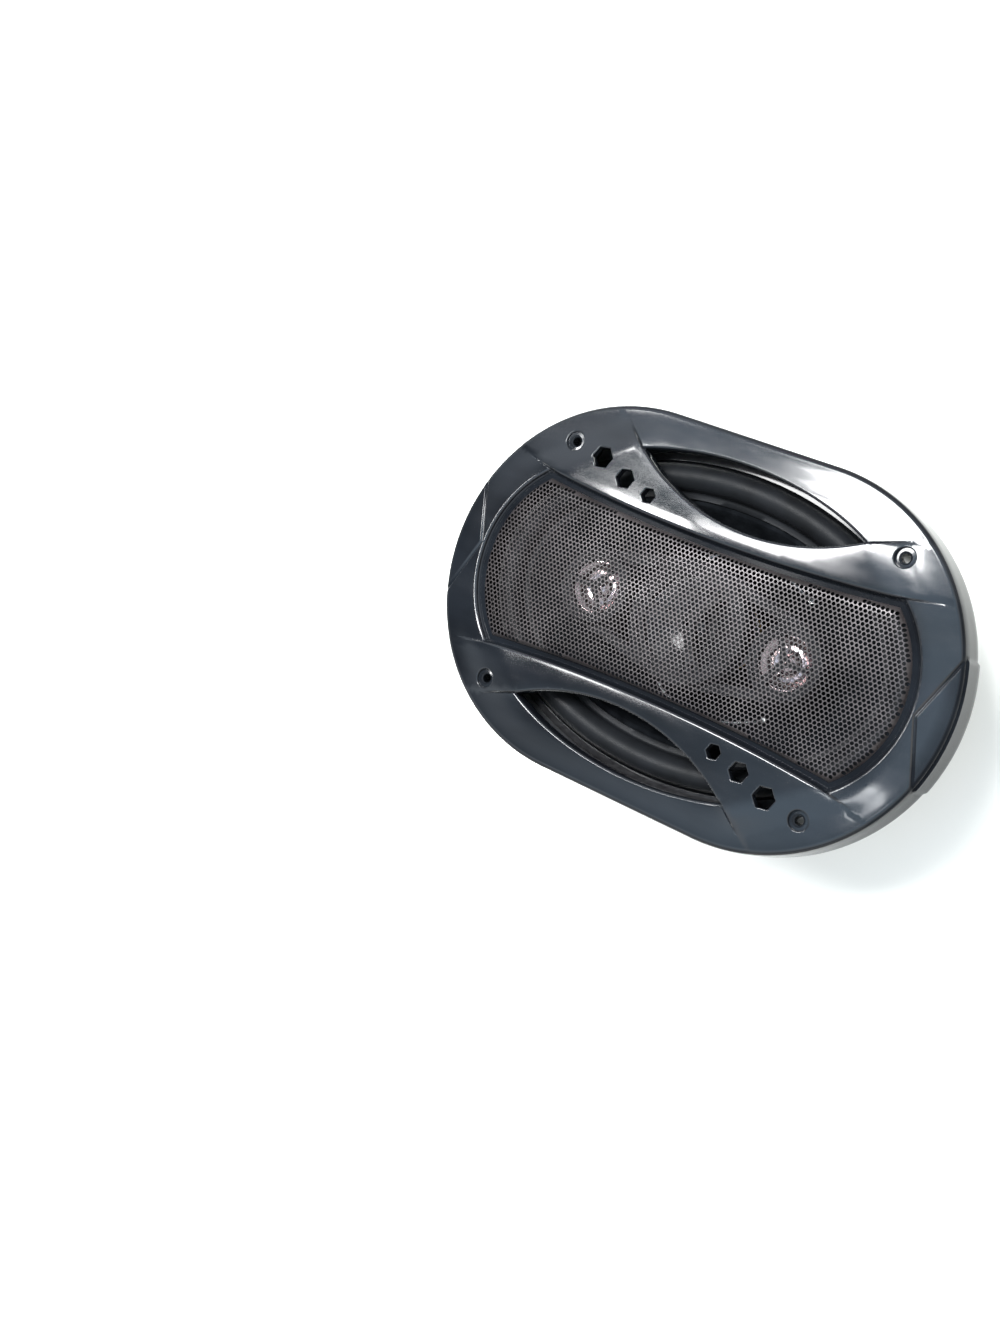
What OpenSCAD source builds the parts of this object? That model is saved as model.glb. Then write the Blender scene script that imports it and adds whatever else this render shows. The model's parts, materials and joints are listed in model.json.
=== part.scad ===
// Oval coaxial car speaker: a woofer with a midrange and two tweeters on a bridge over its cone,
// and a trim with a perforated grille that pulls off its front.
// Origin at the centre of the magnet's rear face. +X is the long axis, +Y the short axis, +Z out of the front.

/* [Basket] */
// Height of the flange's front face above the magnet's rear face
flange_z = 80; // [79:0.5:84]
// Thickness of the stamped steel
steel = 1.2; // [1:0.1:1.4]
// Half the long spacing of the mounting holes
hole_x = 82; // [81:0.5:83]
// Half the short spacing of the mounting holes
hole_y = 58.5; // [58:0.5:59]
// Number of windows round the basket
windows = 12; // [12:4:16]
// Width of one window
window_w = 22; // [14:1:23]

/* [Grille] */
// Radius of the trim's round ends
trim_r = 85.2; // [85:0.1:87]
// Half the length of the trim's straight edges
trim_flat = 39.8; // [39:0.5:42]
// Height of the trim's face above the flange
trim_h = 20; // [20:0.5:24]
// Radius of the screw holes through the trim
screw_hole_r = 2.1; // [1.8:0.1:2.4]
// Rise of the mesh from its edge to its middle
mesh_rise = 2.5; // [1:0.5:4]

/* [Cone and surround] */
// Half the length of the surround's roll, along its crest
roll_a = 98.5; // [98:0.5:99]
// Half the width of the surround's roll, along its crest
roll_b = 64; // [63.5:0.5:64.5]
// Radius of the roll's section
roll_r = 6.5; // [5.5:0.5:6.5]
// Depth of the cone from its lip to its neck
cone_depth = 34; // [32:1:36]

/* [Motor] */
// Radius of the ferrite ring
magnet_r = 50; // [48:1:50]
// Radius of the centre pole
pole_r = 16.6; // [16.4:0.1:16.6]
// Height of the winding on the voice coil
winding_h = 12; // [10:1:13]

/* [Bridge] */
// Distance from the middle of the bridge to each tweeter
tweeter_x = 48.7; // [48:0.1:50]
// Outer radius of the ring round the midrange
mid_ring_r = 28.6; // [28.2:0.1:29]
// Outer radius of the ring round a tweeter
side_ring_r = 17.6; // [17.2:0.1:17.8]

/* [Hidden] */
$fn = 96;

black_steel = [0.12, 0.12, 0.13];
bare_steel = [0.62, 0.63, 0.65];
ferrite = [0.2, 0.2, 0.21];
satin_black = [0.13, 0.14, 0.15];
gloss_black = [0.08, 0.09, 0.1];
rubber_black = [0.16, 0.17, 0.18];
silver = [0.85, 0.84, 0.86];
copper = [0.72, 0.42, 0.22];

// Motor levels and radii
yoke_t = 6;
plate_z = 22;
plate_top = 28;
plate_r = 47;
gap_r = 18.4;
bore_r = 2.55;
screw_r = 2.5;
former_in = 17;
former_out = 17.3;
former_z = 18;
gap_mid = (plate_z + plate_top) / 2;

// Basket levels
landing_r = 40;
shelf_z = plate_top + 7;
shelf_r = 49;
cup_a = 101;
cup_b = 67;
flange_lip = 0.3;
tab_x = 68;
tab_y = 68.2;
tab_turn = 8.4;

// Terminal board
board_y = -51.6;
board_t = 1.6;
rivet_x = 5;
rivet_z = plate_top + 3.4;
rivet_hole_r = 1.55;
lead_r = 0.6;

// Cone levels
lip_z = flange_z - 0.2;
neck_z = lip_z - 0.8 - cone_depth;
neck_r = 17.35;
eyelet = [40, 28.5];

// Trim levels
trim_z = flange_z + trim_h;
band_z = trim_z - 1.6;
under_z = trim_z - 4.2;
skirt_z = flange_z - steel;
lip_drop = trim_z - 8.4;
mesh_inset = 3.4;
mesh_edge_z = trim_z - 1.6;
mesh_t = 0.8;
mesh_bow_r = 785;
mesh_half_w = 37.4;
crescent_at = [13.3, 147];
crescent_r = 101.5;

// Bridge levels, upwards from its floor
bridge_z = flange_z - 10;
floor_z = bridge_z + 2.4;
ring_top = flange_z + 13;
tweeter_floor = flange_z - 2;

function arc(centre, r, from, to, n) =
  [for (i = [0:n]) let (a = from + (to - from) * i / n) centre + r * [cos(a), sin(a)]];
function oval(a, b, n = 96) = [for (i = [0:n - 1]) [a * cos(360 * i / n), b * sin(360 * i / n)]];

// A closed ring swept round an oval. Each section point is [half length, half width, z], anticlockwise.
module oval_ring(section, n = 96) {
  m = len(section);
  points = [for (i = [0:n - 1]) for (s = section) [s[0] * cos(360 * i / n), s[1] * sin(360 * i / n), s[2]]];
  function at(i, j) = (i % n) * m + (j % m);
  faces = [
    for (i = [0:n - 1]) for (j = [0:m - 1]) each [
      [at(i, j), at(i, j + 1), at(i + 1, j + 1)],
      [at(i, j), at(i + 1, j + 1), at(i + 1, j)]
    ]
  ];
  polyhedron(points, faces);
}

// A smooth curve through hand-chosen points, n steps to each stretch
function curve_at(p0, p1, p2, p3, t) =
  0.5 * (2 * p1 + (p2 - p0) * t + (2 * p0 - 5 * p1 + 4 * p2 - p3) * t * t
    + (3 * p1 - p0 - 3 * p2 + p3) * t * t * t);
function curve(p, n) = concat(
  [for (i = [0:len(p) - 2]) for (k = [0:n - 1])
    curve_at(p[max(i - 1, 0)], p[i], p[i + 1], p[min(i + 2, len(p) - 1)], k / n)],
  [p[len(p) - 1]]
);
function unit(v) = v / norm(v);

// A round wire swept along a path, with flat ends
module wire(path, r, sides = 8) {
  last = len(path) - 1;
  points = [
    for (i = [0:last])
      let (
        t = unit(path[min(i + 1, last)] - path[max(i - 1, 0)]),
        u = unit(cross(t, [0.2, 1, 0.1])),
        v = cross(t, u)
      )
      for (k = [0:sides - 1]) path[i] + r * (cos(360 * k / sides) * u + sin(360 * k / sides) * v)
  ];
  function at(i, k) = i * sides + k % sides;
  sides_faces = [
    for (i = [0:last - 1]) for (k = [0:sides - 1]) each [
      [at(i, k), at(i + 1, k), at(i + 1, k + 1)],
      [at(i, k), at(i + 1, k + 1), at(i, k + 1)]
    ]
  ];
  start_cap = [for (k = [0:sides - 1]) at(0, k)];
  end_cap = [for (k = [sides - 1:-1:0]) at(last, k)];
  polyhedron(points, concat([start_cap], sides_faces, [end_cap]));
}

module turned_section(section) {
  rotate_extrude($fn = 96) polygon(section);
}

// ---- Basket ----

// The flange is a long octagon with bowed ends and rounded corners
function flange_quarter() = concat(
  arc([59.4, 0], 55.1, 0, 26, 5),
  arc([73.5, 46.9], 22, 26, 82, 8),
  arc([0, -41.3], 120, 82, 90, 2)
);
function flipped(points, x, y) = [for (p = points) [p[0] * x, p[1] * y]];
function backwards(points) = [for (i = [len(points) - 1:-1:0]) points[i]];
function trimmed(points) = [for (i = [1:len(points) - 1]) points[i]];
function flange_outline() =
  let (
    q = flange_quarter(),
    top = concat(q, trimmed(backwards(flipped(q, -1, 1)))),
    under = flipped(backwards(top), 1, -1)
  )
  concat(top, [for (i = [1:len(under) - 2]) under[i]]);

module slot_2d() {
  half = 1.7;
  for (s = [-1, 1]) translate([0, s * half]) circle(r = 3.3);
  square([6.6, 2 * half], center = true);
}

module flange_2d() {
  difference() {
    polygon(flange_outline());
    polygon(oval(cup_a - steel - flange_lip, cup_b - steel - flange_lip));
    for (x = [-1, 1]) for (y = [-1, 1]) {
      translate([x * hole_x, y * hole_y]) rotate(-x * y * 30) slot_2d();
      translate([x * tab_x, y * tab_y]) rotate(-x * y * tab_turn) square([6.4, 1.8], center = true);
    }
    for (x = [-1, 1]) translate([x * 114.6, 0]) square([2, 6], center = true);
  }
}

// Half length, half width and height of the bowl's outside, from its shelf up to the flange
function cup_outside() = [
  [shelf_r, shelf_r, shelf_z],
  [57, 51, shelf_z + 7],
  [89, 62, flange_z - 12],
  [cup_a, cup_b, flange_z - 4],
  [cup_a, cup_b, flange_z - 0.4]
];
function cup_section() = concat(
  cup_outside(),
  [
    [cup_a - steel, cup_b - steel, flange_z - 0.4],
    [cup_a - steel, cup_b - steel, flange_z - 3.4],
    [88, 61, flange_z - 10.6],
    [56, 50, shelf_z + 8.4],
    [shelf_r - 1, shelf_r - 1, shelf_z + steel]
  ]
);

module basket_windows() {
  a = 74;
  b = 57;
  for (k = [0:windows - 1]) {
    even = k * 360 / windows;
    t = even + 5.9 * sin(2 * even);
    translate([a * cos(t), b * sin(t), shelf_z + 10])
      rotate(atan2(a * sin(t), b * cos(t)))
        translate([-20, -window_w / 2, 0]) cube([46, window_w, flange_z - 18 - shelf_z]);
  }
}

module terminal_tab() {
  translate([-8, board_y, shelf_z]) cube([16, 3.6, steel]);
  translate([-8, board_y, plate_top + 1]) cube([16, 1.4, shelf_z - plate_top]);
}

module basket() {
  color(black_steel) difference() {
    union() {
      translate([0, 0, flange_z - steel]) linear_extrude(steel) flange_2d();
      oval_ring(cup_section());
      turned_section([
        [gap_r + 1.1, plate_top], [landing_r, plate_top], [landing_r, shelf_z], [shelf_r - 0.2, shelf_z],
        [shelf_r - 0.2, shelf_z + steel], [landing_r - steel, shelf_z + steel],
        [landing_r - steel, plate_top + steel], [gap_r + 1.1, plate_top + steel]
      ]);
      terminal_tab();
    }
    basket_windows();
    for (s = [-1, 1]) translate([s * rivet_x, board_y + 2.6, rivet_z]) rotate([90, 0, 0])
      cylinder(r = rivet_hole_r, h = 4);
  }
}

// ---- Motor ----

module yoke() {
  color(bare_steel) difference() {
    union() {
      cylinder(r = plate_r, h = yoke_t);
      cylinder(r = pole_r, h = plate_top);
    }
    translate([0, 0, -1]) cylinder(r = bore_r, h = plate_top + 2);
    translate([0, 0, -1]) cylinder(r = 5.4, h = 4);
  }
}

module magnet() {
  color(ferrite) translate([0, 0, yoke_t]) difference() {
    cylinder(r = magnet_r, h = plate_z - yoke_t);
    translate([0, 0, -1]) cylinder(r = 24, h = plate_z - yoke_t + 2);
  }
}

module top_plate() {
  color(bare_steel) translate([0, 0, plate_z]) difference() {
    cylinder(r = plate_r, h = plate_top - plate_z);
    translate([0, 0, -1]) cylinder(r = gap_r, h = plate_top - plate_z + 2);
  }
}

module bridge_post() {
  color(satin_black) translate([0, 0, plate_top]) difference() {
    cylinder(r = 8, h = bridge_z - plate_top);
    translate([0, 0, -1]) cylinder(r = bore_r, h = bridge_z - plate_top + 2);
  }
}

module post_screw() {
  color(bare_steel) difference() {
    union() {
      translate([0, 0, 0.6]) cylinder(r = 5, h = 2.4);
      translate([0, 0, 3]) cylinder(r = screw_r, h = 43);
    }
    for (a = [0, 90]) rotate(a) translate([-3, -0.5, 0]) cube([6, 1, 1.8]);
  }
}

module bridge_screw() {
  color(bare_steel) difference() {
    union() {
      translate([0, 0, floor_z]) cylinder(r = 4.4, h = 2);
      translate([0, 0, floor_z - 16]) cylinder(r = screw_r, h = 16);
    }
    for (a = [0, 90]) rotate(a) translate([-3, -0.5, floor_z + 1]) cube([6, 1, 1.4]);
  }
}

// ---- Moving system ----

// The damper's concentric corrugations
function spider_wave(r) = shelf_z + steel + 1.6 + 1.3 * sin(360 * (r - 18) / 6.25);
module spider() {
  steps = 48;
  top = [for (i = [0:steps]) let (r = 17.8 + 25.2 * i / steps) [r, spider_wave(r) + 0.6]];
  under = [for (i = [steps:-1:0]) let (r = 17.8 + 25.2 * i / steps) [r, spider_wave(r)]];
  rim = [[43.6, shelf_z + steel + 0.7], [47, shelf_z + steel + 0.7], [47, shelf_z + steel], [43.2, shelf_z + steel]];
  color([0.78, 0.68, 0.36]) turned_section(concat(top, rim, under));
}

// Half-roll of rubber between the flange and the cone, with a flat rim on each side
module surround() {
  thin = 0.8;
  steps = 10;
  outer = [for (i = [0:steps]) let (a = 180 * i / steps) [roll_r * cos(a), flange_z + thin + roll_r * sin(a)]];
  inner = [for (i = [steps:-1:0]) let (a = 180 * i / steps, r = roll_r - thin) [r * cos(a), flange_z + 0.1 + r * sin(a)]];
  profile = concat(
    [[roll_r - thin, flange_z], [roll_r + 4, flange_z], [roll_r + 4, flange_z + thin]],
    outer,
    [[-roll_r - 3, flange_z + thin + 0.1], [-roll_r - 3, flange_z + 0.1], [-roll_r - 0.1, flange_z + 0.1]],
    inner
  );
  color(rubber_black) oval_ring([for (p = profile) [roll_a + p[0], roll_b + p[0], p[1]]]);
}

module surround_gasket() {
  a = roll_a + roll_r;
  b = roll_b + roll_r;
  color(gloss_black) translate([0, 0, flange_z + 0.8]) linear_extrude(1.4) difference() {
    polygon(oval(a + 4, b + 4));
    polygon(oval(a + 0.5, b + 0.5));
  }
}

module cone() {
  rise = cone_depth;
  a0 = neck_r;
  a1 = roll_a - 12;
  b1 = roll_b - 12;
  function wall(t, out) = [
    a0 + (a1 - a0) * t + out, a0 + (b1 - a0) * t + out, neck_z + rise * (0.86 * t + 0.14 * t * t)
  ];
  steps = 5;
  inside = [for (i = [steps:-1:0]) wall(i / steps, 0)];
  outside = [for (i = [0:steps]) wall(i / steps, 0.9) - [0, 0, 0.2]];
  color([0.14, 0.15, 0.16]) difference() {
    oval_ring(concat(
      [[a0 + 0.9, a0 + 0.9, neck_z - 3]],
      outside,
      [[a1 + 5, b1 + 5, lip_z - 0.8], [a1 + 5, b1 + 5, lip_z], [a1, b1, lip_z]],
      inside,
      [[a0, a0, neck_z - 3]]
    ));
    for (s = [-1, 1]) translate([eyelet[0], s * eyelet[1], neck_z]) cylinder(r = 1.35, h = cone_depth);
  }
}

module voice_coil_former() {
  color([0.8, 0.66, 0.4]) translate([0, 0, former_z]) difference() {
    cylinder(r = former_out, h = neck_z - former_z);
    translate([0, 0, -1]) cylinder(r = former_in, h = neck_z - former_z + 2);
  }
}

module voice_coil() {
  color(copper) translate([0, 0, gap_mid - winding_h / 2]) difference() {
    cylinder(r = 17.9, h = winding_h);
    translate([0, 0, -1]) cylinder(r = former_out, h = winding_h + 2);
  }
}

module lead_eyelets() {
  color(silver) for (s = [-1, 1]) translate([eyelet[0], s * eyelet[1], neck_z + 15]) cylinder(r = 1.2, h = 5.4);
}

module tinsel_leads() {
  top = neck_z + 21.4;
  path = [[-5.5, 29.6, 84], [-3, 32, 83.4], [3, 35, 82], [12, 36.8, 80], [22, 36.4, 77.4],
    [31, 33.6, 74], [37, 30.6, 70.6], [39.8, 28.8, top]];
  color(silver) for (s = [-1, 1]) wire(curve([for (p = path) [p[0], s * p[1], p[2] + flange_z - 80]], 3), lead_r);
}

// ---- Bridge ----

// Outline of the two tangents between the middle ring and a side ring, with the rings' radii given
module tangents_2d(r1, r2) {
  lean = asin((r1 - r2) / tweeter_x);
  near = r1 * [sin(lean), cos(lean)];
  far = [tweeter_x, 0] + r2 * [sin(lean), cos(lean)];
  polygon([near, far, [far[0], -far[1]], [near[0], -near[1]]]);
}

module arms_2d() {
  for (s = [-1, 1]) scale([s, 1]) difference() {
    tangents_2d(mid_ring_r, side_ring_r);
    difference() {
      tangents_2d(mid_ring_r - 4.6, side_ring_r - 4.6);
      circle(r = mid_ring_r);
      translate([tweeter_x, 0]) circle(r = side_ring_r);
    }
    circle(r = 25);
    translate([tweeter_x, 0]) circle(r = 15.4);
  }
}

module bridge() {
  mid = [
    [bore_r, bridge_z], [20, bridge_z], [26, bridge_z + 6.5], [mid_ring_r, ring_top - 7],
    [mid_ring_r, ring_top - 2], [mid_ring_r - 1.4, ring_top], [24.2, ring_top], [24.2, ring_top - 5],
    [22.8, ring_top - 5], [22.8, bridge_z + 7], [19, floor_z], [bore_r, floor_z]
  ];
  t = tweeter_floor;
  side = [
    [0, t - 2], [12, t - 2], [15.6, t + 1], [side_ring_r, ring_top - 7], [side_ring_r, ring_top - 2],
    [side_ring_r - 1.2, ring_top], [14.9, ring_top], [14.9, ring_top - 4], [13.9, ring_top - 4],
    [13.9, t + 2], [11, t], [0, t]
  ];
  color(satin_black) {
    turned_section(mid);
    for (s = [-1, 1]) translate([s * tweeter_x, 0, 0]) turned_section(side);
    translate([0, 0, ring_top - 9]) linear_extrude(6) arms_2d();
  }
}

module crossover_capacitors() {
  color([0.1, 0.16, 0.3]) for (s = [-1, 1])
    translate([-4.5, s * 15.3, floor_z + 2.8]) rotate([0, 90, 0]) cylinder(r = 2.8, h = 9);
}

// Three spokes from a hub to a ring, each narrow in its middle and flared at its end
module spokes_2d(reach, hub_r, waist, flare) {
  circle(r = hub_r);
  for (a = [0, 120, 240]) rotate(a) polygon([
    [0, -waist], [reach * 0.55, -waist / 2], [reach * 0.8, -waist * 0.7], [reach, -flare / 2],
    [reach, flare / 2], [reach * 0.8, waist * 0.7], [reach * 0.55, waist / 2], [0, waist]
  ]);
}

module guard(ring_in, ring_out, foot_in, z, spoke_z, spoke_t, hub_r, waist, flare, hole_at, hole_r, turn) {
  difference() {
    union() {
      turned_section([
        [foot_in, z], [ring_out, z], [ring_out, spoke_z + 0.6], [ring_in, spoke_z + 0.6],
        [ring_in, spoke_z], [foot_in, spoke_z - 0.2]
      ]);
      translate([0, 0, spoke_z]) linear_extrude(spoke_t) rotate(turn) spokes_2d(ring_in + 0.6, hub_r, waist, flare);
    }
    translate([0, 0, spoke_z - 1]) cylinder(r = hole_r, h = spoke_t + 3);
    rotate(turn) for (a = [0, 120, 240]) rotate(a)
      translate([hole_at, 0, spoke_z - 1]) cylinder(r = hole_r, h = spoke_t + 3);
  }
}

// ---- Midrange ----

module midrange_frame() {
  z = ring_top - 5;
  color(black_steel) turned_section([
    [7.2, z - 6.2], [12, z - 6.2], [21.4, z - 1], [22.6, z], [24, z], [24, z + 1.2], [21.4, z + 1.2], [21.4, z + 0.2],
    [11.6, z - 5], [7.2, z - 5]
  ]);
}

module midrange_pot() {
  z = floor_z + 2.6;
  top = ring_top - 11.2;
  color(bare_steel) turned_section([[0, z], [11.5, z], [11.5, top], [6.6, top], [6.6, z + 1.4], [0, z + 1.4]]);
}

module midrange_magnet() {
  z = floor_z + 4;
  color(ferrite) translate([0, 0, z]) cylinder(r = 5, h = ring_top - 11.4 - z);
}

module midrange_cone() {
  z = ring_top - 3;
  color(gloss_black) turned_section([
    [0, z - 2.8], [3, z - 3.1], [6.2, z - 4.5], [12, z - 3.9], [20.2, z - 0.1], [20.8, z - 0.1], [20.8, z - 0.5],
    [20.3, z - 0.5], [12, z - 4.4], [6.4, z - 5.1], [5.2, z - 5.1], [3, z - 3.6], [0, z - 3.2]
  ]);
}

module midrange_coil() {
  z = ring_top - 14.5;
  color(copper) translate([0, 0, z]) difference() {
    cylinder(r = 6.1, h = 6.4);
    translate([0, 0, -1]) cylinder(r = 5.5, h = 8.4);
  }
}

module midrange_guard() {
  color(satin_black) guard(
    ring_in = 21, ring_out = 24.1, foot_in = 21.5, z = ring_top - 3.8, spoke_z = ring_top - 1.4, spoke_t = 1.8,
    hub_r = 4.2, waist = 3.4, flare = 8, hole_at = 19.4, hole_r = 1.25, turn = 60
  );
}

// ---- Tweeters ----

module tweeter_frame() {
  z = ring_top - 4;
  turned_section([
    [5, z - 5], [8.6, z - 5], [12.4, z - 1], [13.6, z], [14.8, z], [14.8, z + 1.2], [12.4, z + 1.2], [12.4, z + 0.1],
    [8.2, z - 4], [5, z - 4]
  ]);
}

module tweeter_pot() {
  z = tweeter_floor;
  top = ring_top - 9;
  turned_section([[0, z], [7.6, z], [7.6, top], [4.8, top], [4.8, z + 1.2], [0, z + 1.2]]);
}

module tweeter_magnet() {
  z = tweeter_floor + 1.2;
  translate([0, 0, z]) cylinder(r = 3.4, h = ring_top - 9.2 - z);
}

module tweeter_dome() {
  z = ring_top - 4;
  turned_section([
    [0, z], [1.6, z - 0.2], [3.2, z - 0.9], [4.6, z - 2], [6.4, z - 1.6], [8, z - 1.8], [9.6, z - 0.6],
    [11.6, z + 0.8], [12, z + 0.8], [12, z + 0.4], [11.7, z + 0.4], [9.7, z - 1], [8.1, z - 2.3],
    [6.4, z - 2.1], [4.8, z - 2.6], [3.6, z - 2.6], [2.6, z - 1.2], [1.4, z - 0.6], [0, z - 0.4]
  ]);
}

module tweeter_coil() {
  z = ring_top - 12;
  translate([0, 0, z]) difference() {
    cylinder(r = 4.4, h = 5.4);
    translate([0, 0, -1]) cylinder(r = 3.8, h = 7.4);
  }
}

module tweeter_guard(turn) {
  guard(
    ring_in = 12.2, ring_out = 14.8, foot_in = 12.6, z = ring_top - 2.8, spoke_z = ring_top - 1.2, spoke_t = 1.4,
    hub_r = 2.5, waist = 2, flare = 4.6, hole_at = 11, hole_r = 0.8, turn = turn
  );
}

module at_tweeter(side) {
  translate([side * tweeter_x, 0, 0]) children();
}

module tweeter_left_frame() { color(satin_black) at_tweeter(-1) tweeter_frame(); }
module tweeter_left_pot() { color(bare_steel) at_tweeter(-1) tweeter_pot(); }
module tweeter_left_magnet() { color(ferrite) at_tweeter(-1) tweeter_magnet(); }
module tweeter_left_dome() { color(silver) at_tweeter(-1) tweeter_dome(); }
module tweeter_left_coil() { color(copper) at_tweeter(-1) tweeter_coil(); }
module tweeter_left_guard() { color(satin_black) at_tweeter(-1) tweeter_guard(60); }
module tweeter_right_frame() { color(satin_black) at_tweeter(1) tweeter_frame(); }
module tweeter_right_pot() { color(bare_steel) at_tweeter(1) tweeter_pot(); }
module tweeter_right_magnet() { color(ferrite) at_tweeter(1) tweeter_magnet(); }
module tweeter_right_dome() { color(silver) at_tweeter(1) tweeter_dome(); }
module tweeter_right_coil() { color(copper) at_tweeter(1) tweeter_coil(); }
module tweeter_right_guard() { color(satin_black) at_tweeter(1) tweeter_guard(0); }

// ---- Terminals ----

module terminal_board() {
  color([0.36, 0.24, 0.12]) difference() {
    translate([-15, board_y - board_t, plate_top - 5]) cube([30, board_t, 15]);
    for (s = [-1, 1]) translate([s * rivet_x, board_y + 2.6, rivet_z]) rotate([90, 0, 0])
      cylinder(r = rivet_hole_r, h = 6);
  }
}

// A flat spade that points to the rear, with a solder tag at its top
module spade(width) {
  translate([-width / 2, board_y - board_t - 0.8, plate_top - 14]) cube([width, 0.8, 20]);
}

module terminal_positive() { color(silver) translate([-11, 0, 0]) spade(6.35); }
module terminal_negative() { color(silver) translate([11, 0, 0]) spade(4.75); }

module terminal_rivets() {
  color(silver) for (s = [-1, 1]) translate([s * rivet_x, board_y + 1.4, rivet_z]) rotate([90, 0, 0]) {
    cylinder(r = 1.5, h = 3);
    translate([0, 0, -0.8]) cylinder(r = 2.4, h = 0.8);
    translate([0, 0, 3]) cylinder(r = 2.6, h = 0.8);
  }
}

module terminal_leads() {
  y = board_y - board_t - 1.5;
  path = [[11, y, 33], [11, y - 1.6, 38], [10, y - 1, 45], [8.6, -50, 51], [7.6, -42, 54.2], [7, -34, 57.8]];
  color(silver) for (s = [-1, 1]) wire(curve([for (p = path) [s * p[0], p[1], p[2]]], 3), lead_r);
}

// ---- Grille ----

module trim_2d(out = 0) {
  for (s = [-1, 1]) translate([s * trim_flat, 0]) circle(r = trim_r + out, $fn = 180);
  square([2 * trim_flat, 2 * (trim_r + out)], center = true);
}

// The mesh opening has round ends and long sides that bow inwards
module mesh_2d(out = 0) {
  difference() {
    union() {
      for (s = [-1, 1]) translate([s * 52, 0]) circle(r = 56 + out, $fn = 180);
      square([104, 100], center = true);
    }
    for (s = [-1, 1]) translate([0, s * (mesh_bow_r + mesh_half_w)]) circle(r = mesh_bow_r - out, $fn = 720);
  }
}

// The long opening between the trim's outer band and its upper wing
module crescent_2d(out = 0) {
  intersection() {
    translate(crescent_at) circle(r = crescent_r + out, $fn = 180);
    polygon(oval(109 + out, 73 + out, 180));
  }
}

// The raised wing beside the mesh, which carries two screws and three hexagons.
// Its edges run on into the mesh opening and the crescent, which cut it back.
module wing_2d() {
  rim = trim_r - 3;
  polygon(concat(
    [[-84.8, 41.5], [-80, 35], [80, 35], [84.8, 41.5], [102, 45.6]],
    arc([trim_flat, 0], rim, 36, 52, 4),
    [[81, 65.4], [62.1, 58.4]],
    arc(crescent_at, crescent_r - 1.4, 298, 236, 10),
    [[-47.9, 66.2], [-59.5, 75.5]],
    arc([-trim_flat, 0], rim, 110, 144, 6),
    [[-102, 45.6]]
  ));
}

module hexagons_2d() {
  sizes = [[-65, 55.6, 5.2], [-50.5, 50, 4.6], [-36.6, 46.4, 3.5]];
  for (h = sizes) translate([h[0], h[1]]) rotate(9) circle(r = h[2], $fn = 6);
}

module end_groove_2d() {
  polygon([[110, 0], [120, 28.4], [121.4, 28], [111.6, 0], [121.4, -28], [120, -28.4]]);
}

module grille_trim() {
  color(gloss_black) difference() {
    union() {
      translate([0, 0, under_z]) linear_extrude(band_z - under_z) trim_2d();
      translate([0, 0, skirt_z]) linear_extrude(under_z - skirt_z) difference() {
        trim_2d();
        trim_2d(-2);
      }
      for (turn = [0, 180]) rotate(turn) {
        translate([0, 0, under_z]) linear_extrude(trim_z - under_z) wing_2d();
        translate([0, 0, lip_drop]) linear_extrude(under_z - lip_drop) difference() {
          crescent_2d(1.4);
          crescent_2d();
        }
        translate([trim_flat, 0, skirt_z]) rotate_extrude(start = -19, angle = 38, $fn = 180)
          translate([trim_r - 0.2, 0]) square([1, band_z - 1.6 - skirt_z]);
      }
      for (x = [-1, 1]) for (y = [-1, 1]) {
        translate([x * hole_x, y * hole_y, flange_z + 0.4]) cylinder(r = 5.6, h = under_z - flange_z);
        translate([x * tab_x, y * tab_y, flange_z - 3]) rotate(-x * y * tab_turn)
          translate([-2.4, -0.45, 0]) cube([4.8, 0.9, under_z - flange_z + 3.2]);
      }
    }
    translate([0, 0, under_z - 3]) linear_extrude(9) mesh_2d(-mesh_inset - 1.2);
    translate([0, 0, mesh_edge_z - 1.6]) linear_extrude(9) mesh_2d();
    for (turn = [0, 180]) rotate(turn) {
      translate([0, 0, lip_drop - 1]) linear_extrude(trim_z - lip_drop + 2) crescent_2d();
      translate([0, 0, under_z - 1]) linear_extrude(8) hexagons_2d();
      translate([0, 0, band_z - 1]) linear_extrude(3) end_groove_2d();
    }
    for (x = [-1, 1]) for (y = [-1, 1]) translate([x * hole_x, y * hole_y, 0]) {
      translate([0, 0, flange_z]) cylinder(r = screw_hole_r, h = trim_h + 1);
      translate([0, 0, trim_z - 2.8]) cylinder(r = 4.4, h = 4);
    }
  }
}

// Domed sheet with its edge turned down into the trim
module grille_mesh() {
  function dome(r) = mesh_edge_z + mesh_rise * (1 - pow(r / 106, 2));
  steps = 12;
  reach = 112;
  sheet = concat(
    [for (i = [0:steps]) let (r = reach * i / steps) [r, dome(r)]],
    [for (i = [steps:-1:0]) let (r = reach * i / steps) [r, dome(r) + mesh_t]]
  );
  color([0.5, 0.5, 0.52]) {
    intersection() {
      turned_section(sheet);
      translate([0, 0, under_z]) linear_extrude(12) mesh_2d(-mesh_inset);
    }
    intersection() {
      turned_section([[0, mesh_edge_z - 1.6], [reach, mesh_edge_z - 1.6], [reach, dome(reach) + 0.4],
        [60, dome(60) + 0.4], [0, dome(0) + 0.4]]);
      translate([0, 0, mesh_edge_z - 1.6]) linear_extrude(6) difference() {
        mesh_2d(-mesh_inset);
        mesh_2d(-mesh_inset - 0.8);
      }
    }
  }
}

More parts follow.
